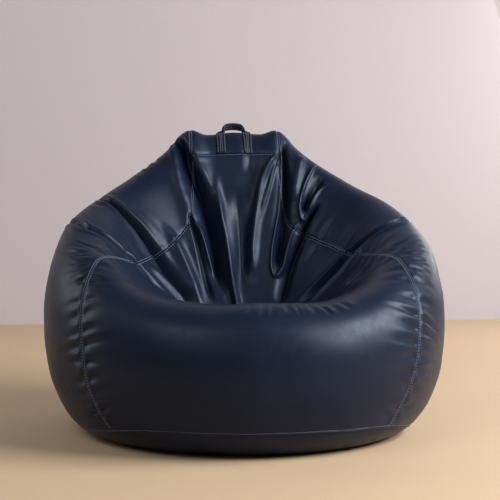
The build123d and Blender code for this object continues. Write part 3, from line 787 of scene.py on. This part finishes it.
def zipHeight():
    # height up the wall from the middle of the zip
    _, height, lean = zipFrame()
    return (plain[..., 2] - height) / math.cos(lean)


def zipBand():
    # + in the zip's two tapes and the slit between them
    ends = (zipForm["halfAngle"] - (180 - np.abs(turnGrid))) * math.radians(1) * zipFrame()[0]
    top = zipForm["width"] / 2 - zipHeight()
    return np.where(levelGrid < baseSeam["topLevel"], np.minimum(ends, top), farOutside)


def coverPieces():
    # cuts the cover along the zero line of one field after another
    belowSeam = baseSeamHeight(turnGrid) - plain[..., 2]
    fields = {
        "base": np.where(levelGrid > baseSeam["topLevel"], farOutside, belowSeam),
        "yoke": yokeField(),
        "front": frontField(),
        "rear": rearField(),
        "right": plain[..., 0],
        "zip": zipBand(),
        "upperTape": zipHeight() - zipForm["slit"] / 2,
        "slit": zipHeight() + zipForm["slit"] / 2}
    column = {name: 6 + k for k, name in enumerate(fields)}
    surface = [cover.reshape(-1, 3), coverNormals.reshape(-1, 3)]
    data = np.concatenate(surface + [field.reshape(-1, 1) for field in fields.values()], axis=1)
    seatMiddle, footMiddle = np.zeros((2, 1, data.shape[1]))
    seatMiddle[0, :3] = cover[:, -1].mean(0)
    seatMiddle[0, 6:] = farOutside
    seatMiddle[0, column["front"]] = fieldReach
    faces = wallFaces(columns, len(levels)) + topFan(columns, len(levels), len(data))
    data = np.vstack([data, seatMiddle])
    pieces = {}
    data, pieces["basePanel"], rest = splitBy(data, faces, column["base"])
    data, band, rest = splitBy(data, rest, column["zip"])
    data, pieces["zipTapeUpper"], band = splitBy(data, band, column["upperTape"])
    data, _, pieces["zipTapeLower"] = splitBy(data, band, column["slit"])
    data, pieces["yokePanel"], rest = splitBy(data, rest, column["yoke"])
    data, pieces["frontPanel"], rest = splitBy(data, rest, column["front"])
    data, pieces["rearPanel"], rest = splitBy(data, rest, column["rear"])
    data, pieces["rightSidePanel"], pieces["leftSidePanel"] = splitBy(data, rest, column["right"])
    pieces["basePanel"] += footFan(columns, len(levels), len(data))
    return np.vstack([data, footMiddle]), pieces


data, pieceFaces = coverPieces()
zipTapes = ("zipTapeUpper", "zipTapeLower")
coverThickness = 2.0
cadNodes = {
    "zipTapeUpper": "zip_tape_upper", "zipTapeLower": "zip_tape_lower", "basePanel": "base_panel",
    "yokePanel": "yoke_panel", "frontPanel": "front_panel", "rearPanel": "rear_panel",
    "rightSidePanel": "right_side_panel", "leftSidePanel": "left_side_panel"}
for name, faces in pieceFaces.items():
    piece = meshPiece(name, data[:, :3], faces, zipTapeCloth if name in zipTapes else leather)
    thicken(piece, coverThickness)
    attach(piece, "root")
    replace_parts(piece, cadNodes[name])
    print("piece made: %s, %d faces" % (name, len(faces)))

fillForm = {"linerInset": 4.2, "linerThickness": 0.8, "beadsInset": 6.5, "floorInset": 2.6, "beadsFloor": 3.8}


def gridAt(grid, turn, level):
    # value of a grid at turns and levels, by straight interpolation
    x = (np.asarray(turn, float) + 180) / 360 * columns
    y = np.interp(level, levels, np.arange(len(levels)))
    i, j = np.floor(x).astype(int), np.clip(np.floor(y).astype(int), 0, len(levels) - 2)
    u, v = (x - i)[..., None], (y - j)[..., None]
    i0, i1 = i % columns, (i + 1) % columns
    low = (1 - u) * (1 - v) * grid[i0, j] + u * (1 - v) * grid[i1, j]
    return low + (1 - u) * v * grid[i0, j + 1] + u * v * grid[i1, j + 1]


def innerBag(name, inset, floorInset, step, material):
    # a bag inside the cover, which spans the folds: it takes the deepest nearby place
    move = coverMove
    for reach in range(5):
        move = np.minimum(move, np.minimum(np.roll(move, 1, 0), np.roll(move, -1, 0)))
        if reach < 2:
            move = np.minimum(move, np.minimum(np.roll(move, 1, 1), np.roll(move, -1, 1)))
    points = (plain + plainNormals * (move - inset)[..., None])[::step, ::step]
    points[..., 2] = np.maximum(points[..., 2], floorInset)
    across, up = points.shape[:2]
    data = np.vstack([points.reshape(-1, 3), points[:, -1].mean(0), points[:, 0].mean(0)])
    faces = wallFaces(across, up)
    faces += topFan(across, up, len(data) - 2) + footFan(across, up, len(data) - 1)
    return meshPiece(name, data, faces, material)


linerBag = innerBag("innerLiner", fillForm["linerInset"], fillForm["floorInset"], 2, liningCloth)
thicken(linerBag, fillForm["linerThickness"])
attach(linerBag, "root")
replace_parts(linerBag, "inner_liner")
beads = innerBag("beadFilling", fillForm["beadsInset"], fillForm["beadsFloor"], 4, beadFoam)
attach(beads, "root")
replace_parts(beads, "bead_fill")
print("lining and filling made")


coverTree = KDTree(cover.shape[0] * cover.shape[1])
for k, p in enumerate(cover.reshape(-1, 3)):
    coverTree.insert(p, k)
coverTree.balance()
flatNormals = coverNormals.reshape(-1, 3)
flatCover = cover.reshape(-1, 3)


def settle(points):
    # drops points on the shaped cover, and returns them with the cover's normals there
    index = [coverTree.find(p)[1] for p in points]
    q, n = flatCover[index], flatNormals[index]
    dropped = points - np.einsum("ij,ij->i", points - q, n)[:, None] * n
    return smoothed(dropped), unit(smoothed(n))


def smoothed(values, reach=7):
    # the middle of a few neighbours, so that a row runs evenly over the puckers
    weights = np.hanning(2 * reach + 1)
    padded = np.concatenate([np.repeat(values[:1], reach, 0), values, np.repeat(values[-1:], reach, 0)])
    return np.stack([np.convolve(padded[:, k], weights / weights.sum(), "valid") for k in range(3)], -1)


pointsPerStitch = 4


def evenRun(line):
    # evenly spaced points along a line, a few to each stitch
    run = np.concatenate([[0], np.cumsum(np.linalg.norm(np.diff(line, axis=0), axis=1))])
    at = np.arange(0, run[-1], seamFinish["stitchPitch"] / pointsPerStitch)
    return np.stack([np.interp(at, run, line[:, k]) for k in range(3)], -1)


# Rings of one thread loop: share of its length, lift off the cover and thickness, both in thread radii.
threadLoop = ((0.0, -0.6, 0.5), (0.2, 0.5, 1.0), (0.8, 0.5, 1.0), (1.0, -0.6, 0.5))


def stitches(name, lines, radius):
    # a row of thread loops along each line, which is given as evenly spaced points and their normals
    pitch, length = seamFinish["stitchPitch"], seamFinish["stitchLength"]
    points, faces = [], []
    ring = [(math.cos(math.radians(60 * k)), math.sin(math.radians(60 * k))) for k in range(6)]
    loopFaces = ringFaces(len(threadLoop), len(ring))
    for line, normals in lines:
        along = unit(np.gradient(line, axis=0))
        for k in range(0, len(line) - pointsPerStitch, pointsPerStitch):
            faces += [[len(points) + v for v in f] for f in loopFaces]
            for share, lift, size in threadLoop:
                t = k + share * pointsPerStitch * length / pitch
                i = int(t)
                p = line[i] * (1 - t + i) + line[min(i + 1, len(line) - 1)] * (t - i)
                n = normals[i]
                side = np.cross(along[i], n)
                points += [p + n * (lift * radius + size * radius * v) + side * (size * radius * u)
                           for u, v in ring]
    piece = meshPiece(name, np.array(points), faces, thread)
    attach(piece, "root")
    return piece


def rowsBeside(path, offsets):
    # lines on the shaped cover, at distances to the right of a seam's run, with evenly spaced points
    s = smoothPath(path, 400)
    middle = gridAt(cover, s[:, 0], s[:, 1])
    middle, n = settle(evenRun(middle))
    side = unit(np.cross(unit(np.gradient(middle, axis=0)), n))
    return [settle(middle + side * offset) for offset in offsets]


offset = seamFinish["stitchOffset"]
threadRadius = seamFinish["threadRadius"]
for side, path in frontSeams.items():
    stitches(side + "SeamThread", rowsBeside(path, (-offset, offset)), threadRadius)
for side, path in (("left", mirrored(rearSeam)), ("right", rearSeam)):
    stitches(side + "RearSeamThread", rowsBeside(path, (-offset, offset)), threadRadius)
for name, path in yokeSeams().items():
    besides = (-offset, offset) if name in ("yokeLeft", "yokeRight") else (-offset,)
    stitches(name + "Thread", rowsBeside(path, besides), threadRadius)
print("topstitching made")


def weltLine():
    # the base seam's line on the shaped cover, all the way round
    low = levels < 2
    heights = baseSeamHeight(turns)
    level = np.array([np.interp(heights[i], plain[i, low, 2], levels[low]) for i in range(columns)])
    return gridAt(cover, turns, level), gridAt(coverNormals, turns, level)


def tube(name, centre, across, out, radius, material, closed=True, sides=10):
    # a round cord along a line; across and out are its section's two directions
    angles = np.arange(sides) * 2 * math.pi / sides
    c, s = np.cos(angles)[None, :, None], np.sin(angles)[None, :, None]
    points = centre[:, None] + radius * (c * across[:, None] + s * out[:, None])
    return meshPiece(name, points.reshape(-1, 3), ringFaces(len(centre), sides, closed), material)


weltForm = {"radius": 2.0, "lift": 1.1, "threadAbove": 3.6}
line, out = weltLine()
around = unit(np.roll(line, -1, 0) - np.roll(line, 1, 0))
across = np.cross(around, out)
welt = tube("baseWelt", line + out * weltForm["lift"], across, out, weltForm["radius"], leather)
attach(welt, "root")
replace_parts(welt, "base_welt")
above = line + unit(across) * weltForm["threadAbove"] * np.sign(across[0, 2])
closedRow = evenRun(np.vstack([above, above[:1]]))
stitches("baseSeamThread", [settle(closedRow)], threadRadius)
print("base welt made")


def zipCoil(name, side):
    # one side's coil: a nylon wire wound at the tooth pitch, eight points to a turn
    f = zipForm
    end = f["halfAngle"] - math.degrees(f["coilEnd"] / zipFrame()[0])
    length = math.radians(2 * end) * zipFrame()[0]
    turnsOfWire = int(length / f["toothPitch"])
    t = np.linspace(0, 1, turnsOfWire * 8 + 1)
    spin = t * turnsOfWire * 2 * math.pi
    half, rise = f["coilWidth"] / 2, f["coilHeight"] / 2
    roundUp, roundOut = f["coilRound"]
    up = side * (f["slit"] / 2 + half - f["coilLap"]) + half * np.cos(spin) * roundUp
    out = rise * f["coilLift"] + rise * roundOut * np.sin(spin)
    centre = zipPoint(-end + 2 * end * t, up, out)
    along = unit(np.gradient(centre, axis=0))
    first = unit(np.cross(along, np.array([0.0, 0.0, 1.0])))
    coil = tube(name, centre, first, np.cross(first, along), f["wireRadius"], nylon, closed=False, sides=5)
    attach(coil, "root")
    return coil


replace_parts(zipCoil("zipCoilUpper", 1), "zip_coil_upper")
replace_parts(zipCoil("zipCoilLower", -1), "zip_coil_lower")


def zipGarage():
    # a sewn pocket of the cover's own material over the parked slider: hems, a rounded roof, open ends
    f = zipForm
    radius = zipFrame()[0]
    start = math.degrees((f["coilEnd"] + f["sliderGap"] - f["garageStart"]) / radius) - f["halfAngle"]
    across = np.linspace(-1, 1, 41)
    up = across * (f["garageHalf"] + f["garageHem"])
    flatness, roundness = f["garageRoof"]
    hump = np.clip(1 - np.abs(up / f["garageHalf"]) ** flatness, 0, None) ** (1 / roundness)
    along = np.linspace(0, 1, 25)
    points = []
    for share in along:
        slump = 1 - f["garageSlump"] * (1 - math.cos(share * 9.0))        # the roof sags a little on its way
        angle = start + math.degrees(share * f["garageLength"] / radius)
        points += list(zipPoint(angle, up, f["garageLift"] + f["garageRise"] * hump * slump))
    n = len(across)
    faces = [[i * n + j, (i + 1) * n + j, (i + 1) * n + j + 1, i * n + j + 1]
             for i in range(len(along) - 1) for j in range(n - 1)]
    pocket = meshPiece("zipGarage", np.array(points), faces, leather)
    thicken(pocket, f["garageThickness"], 0)
    rounded(pocket)
    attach(pocket, "root")
    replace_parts(pocket, "zip_garage")


zipGarage()
keptNodes = {                                           # solids whose own shape stays
    "zip_slider": zinc, "zip_stops": zinc, "liner_closure": hookAndLoop, "handle_patch": patchBacking}
for node, material in keptNodes.items():
    frame["nodes"][node].data.materials.clear()
    frame["nodes"][node].data.materials.append(material)
print("zip made")

strapForm = {
    "width": 22.0, "thickness": 2.6, "gather": 22.0, "rootWidth": 6.6, "rootThickness": 5.4,
    "loopWidth": 60.0, "loopHeight": 24.5, "legHeight": 4.0, "lean": 61.0,
    "square": (0.35, 0.6), "puff": 0.10,
    "tabWidth": 23.0, "tabOffset": 6.5, "tabDrop": 55.0, "tabTurn": 175.0, "tabTop": 2.985, "tabGap": 0.3,
    "tabSteps": 40, "tabColumns": 11, "tabStitches": (1, 4, 6, 9),
    "neckRows": 5, "neckNarrow": 0.68, "neckFlat": 0.4, "neckLift": 1.44,
    "edgeRow": 8.4, "innerRow": 3.0, "rowStart": 10, "rowGather": 0.28, "threadRadius": 0.5}


def strapRoot():
    # the axis that the loop swings on
    place = [j for j in frame["joints"] if j["child"] == "handle"][0]["pos_m"]
    return np.array(place) / mm


def loopPlace(x, across, up):
    # from the loop's own plane, which leans back, to the frame
    lean = math.radians(strapForm["lean"])
    x, across, up = np.broadcast_arrays(x, across, up)
    y = across * math.cos(lean) + up * math.sin(lean)
    z = -across * math.sin(lean) + up * math.cos(lean)
    return np.stack([x, y, z], -1) + strapRoot()


def loopCentre():
    # the strap's middle line, its outward direction in the loop's plane, and its length so far
    f = strapForm
    r = (f["loopWidth"] - f["thickness"]) / 2
    leg = f["legHeight"]
    rise = f["loopHeight"] - f["thickness"] / 2 - leg
    a = np.linspace(0, math.pi, 41)
    up, down = np.linspace(0, leg, 8, endpoint=False), np.linspace(leg, 0, 9)[1:]
    x = np.concatenate([np.full(8, r), r * np.cos(a), np.full(8, -r)])
    z = np.concatenate([up, leg + rise * np.sin(a), down])
    run = np.concatenate([[0], np.cumsum(np.hypot(np.diff(x), np.diff(z)))])
    tangent = np.stack([np.gradient(x), np.gradient(z)], -1)
    tangent /= np.linalg.norm(tangent, axis=1)[:, None]
    return x, z, np.stack([tangent[:, 1], -tangent[:, 0]], -1), run


def nearest(line, places):
    # for each place, which of the line's points is nearest
    return np.array([np.argmin(np.linalg.norm(line - place, axis=1)) for place in places])


def strapSection(width, thickness, count):
    # a flat band with rounded edges
    a = np.arange(count) * 2 * math.pi / count
    c, s = np.cos(a), np.sin(a)
    flat, edge = strapForm["square"]
    return np.sign(c) * np.abs(c) ** flat * width / 2, np.sign(s) * np.abs(s) ** edge * thickness / 2


def strapLoop():
    # the band, gathered to a narrow thick root at both ends
    f = strapForm
    x, z, outward, run = loopCentre()
    full = ease(0, f["gather"], np.minimum(run, run[-1] - run))
    width = f["rootWidth"] + (f["width"] - f["rootWidth"]) * full
    thickness = f["rootThickness"] + (f["thickness"] - f["rootThickness"]) * full
    sides = 20
    points = []
    for k in range(len(x)):
        across, deep = strapSection(width[k], thickness[k], sides)
        puff = 1 + f["puff"] * np.cos(across / width[k] * 2 * math.pi * 2)        # between the stitch rows
        deep = deep * puff
        points += list(loopPlace(x[k] + deep * outward[k, 0], across, z[k] + deep * outward[k, 1]))
    loop = meshPiece("strapLoop", np.array(points), ringFaces(len(x), sides), strapLeather)
    rounded(loop)
    return loop


def loopRow(face, row):
    # one stitch row on a face of the loop, which draws in towards the roots
    f = strapForm
    x, z, outward, run = loopCentre()
    full = ease(0, f["gather"], np.minimum(run, run[-1] - run))
    lift = f["thickness"] / 2 + (f["rootThickness"] - f["thickness"]) / 2 * (1 - full)
    across = row * (f["rowGather"] + (1 - f["rowGather"]) * full)
    line = loopPlace(x + face * lift * outward[:, 0], across, z + face * lift * outward[:, 1])
    line = line[f["rowStart"]:-f["rowStart"]]
    even = evenRun(line)
    k = nearest(line, even) + f["rowStart"]
    direction = loopPlace(face * outward[k, 0], 0, face * outward[k, 1]) - strapRoot()
    return even, unit(direction)


loop = strapLoop()
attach(loop, "handle")
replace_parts(loop, "handle_loop")
rowPlaces = (-strapForm["edgeRow"], -strapForm["innerRow"], strapForm["innerRow"], strapForm["edgeRow"])
rows = [loopRow(face, row) for face in (-1, 1) for row in rowPlaces]
loopThread = stitches("strapLoopThread", rows, strapForm["threadRadius"])
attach(loopThread, "handle")


def strapTab(side):
    # a sewn tab: up the inside of the yoke, over the top, and gathered into the loop's root
    f = strapForm
    root = strapRoot()
    middle = (f["loopWidth"] - f["thickness"]) / 2 + f["tabOffset"]
    low = float(stationValue(180, 3)) - f["tabDrop"]
    startLevel = levelAtHeight(f["tabTurn"], low, *yokeForm["innerLevels"])
    across = np.linspace(-0.5, 0.5, f["tabColumns"])
    upper = f["tabGap"] + f["thickness"] * (1 - 0.25 * np.abs(across * 2)[:, None] ** 6)
    backs, tops = [], []
    for v in np.linspace(startLevel, f["tabTop"], f["tabSteps"]):
        radius = np.hypot(*wallPoint(f["tabTurn"], v)[:2])
        turn = 180 - np.degrees(np.arcsin((side * middle + across * f["tabWidth"]) / radius))
        level = np.full(len(turn), v)
        p, n = gridAt(cover, turn, level), gridAt(coverNormals, turn, level)
        backs.append(p + n * f["tabGap"])
        tops.append(p + n * upper)
    target = np.array([side * (middle - f["tabOffset"]), root[1] + 1.0, root[2] - 1.2])
    flat = np.array([1, f["neckFlat"], f["neckFlat"]])
    for layer, face in ((backs, -1), (tops, 1)):             # the neck, up to the loop's root
        last = layer[-1]
        for t in np.linspace(0, 1, f["neckRows"] + 1)[1:]:
            narrow = target + (last - last.mean(0)) * (1 - f["neckNarrow"] * t) * flat
            narrow = narrow + np.array([0, 0, face * f["neckLift"]])
            layer.append(last * (1 - ease(0, 1, t)) + narrow * ease(0, 1, t))
    grid = np.array([np.vstack([b, a[::-1]]) for b, a in zip(backs, tops)])
    return grid.reshape(-1, 3), ringFaces(len(grid), grid.shape[1]), np.array(tops)[:f["tabSteps"]]


def tabRow(tops, column):
    # one stitch row up a tab, at a column of its upper face
    upwards = np.array([0, -1.0, 0.6])
    line = tops[2:-3, column]
    even = evenRun(line)
    index = nearest(line, even) + 2
    widths = tops[index, 9] - tops[index, 1]
    lengths = np.gradient(tops[:, 5], axis=0)[index]
    normal = unit(np.cross(widths, lengths))
    return even, normal * np.sign(normal @ upwards)[:, None]


tabPoints, tabFaces, tabRows = [], [], []
for side in (-1, 1):
    points, faces, tops = strapTab(side)
    tabFaces += [[len(tabPoints) + v for v in f] for f in faces]
    tabPoints += list(points)
    tabRows += [tabRow(tops, column) for column in strapForm["tabStitches"]]
tabs = meshPiece("strapTabs", np.array(tabPoints), tabFaces, strapLeather)
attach(tabs, "root")
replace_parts(tabs, "handle_tabs")
stitches("strapTabThread", tabRows, strapForm["threadRadius"])
print("handle made")

studio = {
    "floor": ("#c4ab8c", "#bfa687"), "wall": ("#bfb8bd", "#bcb5ba"), "air": "#dfdcdc", "airStrength": 0.15,
    "reach": 6.0, "wallPlace": 2.2, "wallHeight": 4.0}
floorMaterial = mottled("paleFloor", *studio["floor"], 40.0, (0.75, 0.85), 0.1)
wallMaterial = mottled("paleWall", *studio["wall"], 40.0, (0.85, 0.95), 0.1)


def seenFromInside(material):
    # the backdrop is open from behind, so that the chair can be looked at from the rear
    tree = material.node_tree
    output = next(n for n in tree.nodes if n.type == "OUTPUT_MATERIAL")
    facing = addNode(tree, "ShaderNodeNewGeometry").outputs["Backfacing"]
    clear = addNode(tree, "ShaderNodeBsdfTransparent").outputs[0]
    solid = output.inputs[0].links[0].from_socket
    mix = addNode(tree, "ShaderNodeMixShader", {}, {0: facing, 1: solid, 2: clear})
    tree.links.new(mix.outputs[0], output.inputs[0])


seenFromInside(wallMaterial)


def stagePlane(name, corners, material):
    mesh = bpy.data.meshes.new(name)
    mesh.from_pydata(corners, [], [(0, 1, 2, 3)])
    mesh.materials.append(material)
    plane = bpy.data.objects.new(name, mesh)
    bpy.context.scene.collection.objects.link(plane)


reach, back, height = studio["reach"], studio["wallPlace"], studio["wallHeight"]
stagePlane("floor", [(-reach, -reach, 0), (reach, -reach, 0), (reach, back, 0), (-reach, back, 0)],
           floorMaterial)
stagePlane("floorBehind", [(-reach, back, 0), (reach, back, 0), (reach, reach, 0), (-reach, reach, 0)],
           floorMaterial)
stagePlane("wall", [(-reach, back, 0), (reach, back, 0), (reach, back, height), (-reach, back, height)],
           wallMaterial)

view = {
    "place": (-0.353, -4.035, 0.751), "tilt": 85.70, "swing": -5.0, "lens": 117, "sensor": 36, "shift": 0.011}
camera = bpy.data.objects.new("camera", bpy.data.cameras.new("camera"))
camera.location = view["place"]
camera.rotation_euler = (math.radians(view["tilt"]), 0, math.radians(view["swing"]))
camera.data.lens = view["lens"]
camera.data.sensor_width = view["sensor"]
camera.data.shift_x = view["shift"]
bpy.context.scene.collection.objects.link(camera)
bpy.context.scene.camera = camera

lamps = {
    "rightWindow": {"place": (2.75, -1.2, 2.2), "aim": (0.1, 0, 0.3), "size": (2.5, 1.7), "power": 220},
    "leftSoftbox": {"place": (-2.0, -2.4, 3.2), "aim": (0.1, 0.1, 0.5), "size": (2.2, 1.8), "power": 36},
    "rearSoftbox": {"place": (1.5, 2.0, 0.9), "aim": (0, 0.4, 0.35), "size": (1.4, 0.9), "power": 11},
    "leftRearSoftbox": {"place": (-3.0, 1.0, 1.7), "aim": (0, 0, 0.3), "size": (1.2, 2.0), "power": 24},
}
for name, lamp in lamps.items():
    lampData = bpy.data.lights.new(name, "AREA")
    lampData.shape = "RECTANGLE"
    lampData.size, lampData.size_y = lamp["size"]
    lampData.energy = lamp["power"]
    light = bpy.data.objects.new(name, lampData)
    light.location = lamp["place"]
    light.rotation_euler = (Vector(lamp["aim"]) - Vector(lamp["place"])).to_track_quat("-Z", "Y").to_euler()
    bpy.context.scene.collection.objects.link(light)

world = bpy.data.worlds.new("room")
world.use_nodes = True
world.node_tree.nodes["Background"].inputs["Color"].default_value = hexColour(studio["air"])
world.node_tree.nodes["Background"].inputs["Strength"].default_value = studio["airStrength"]
bpy.context.scene.world = world
bpy.context.scene.view_settings.view_transform = "Standard"
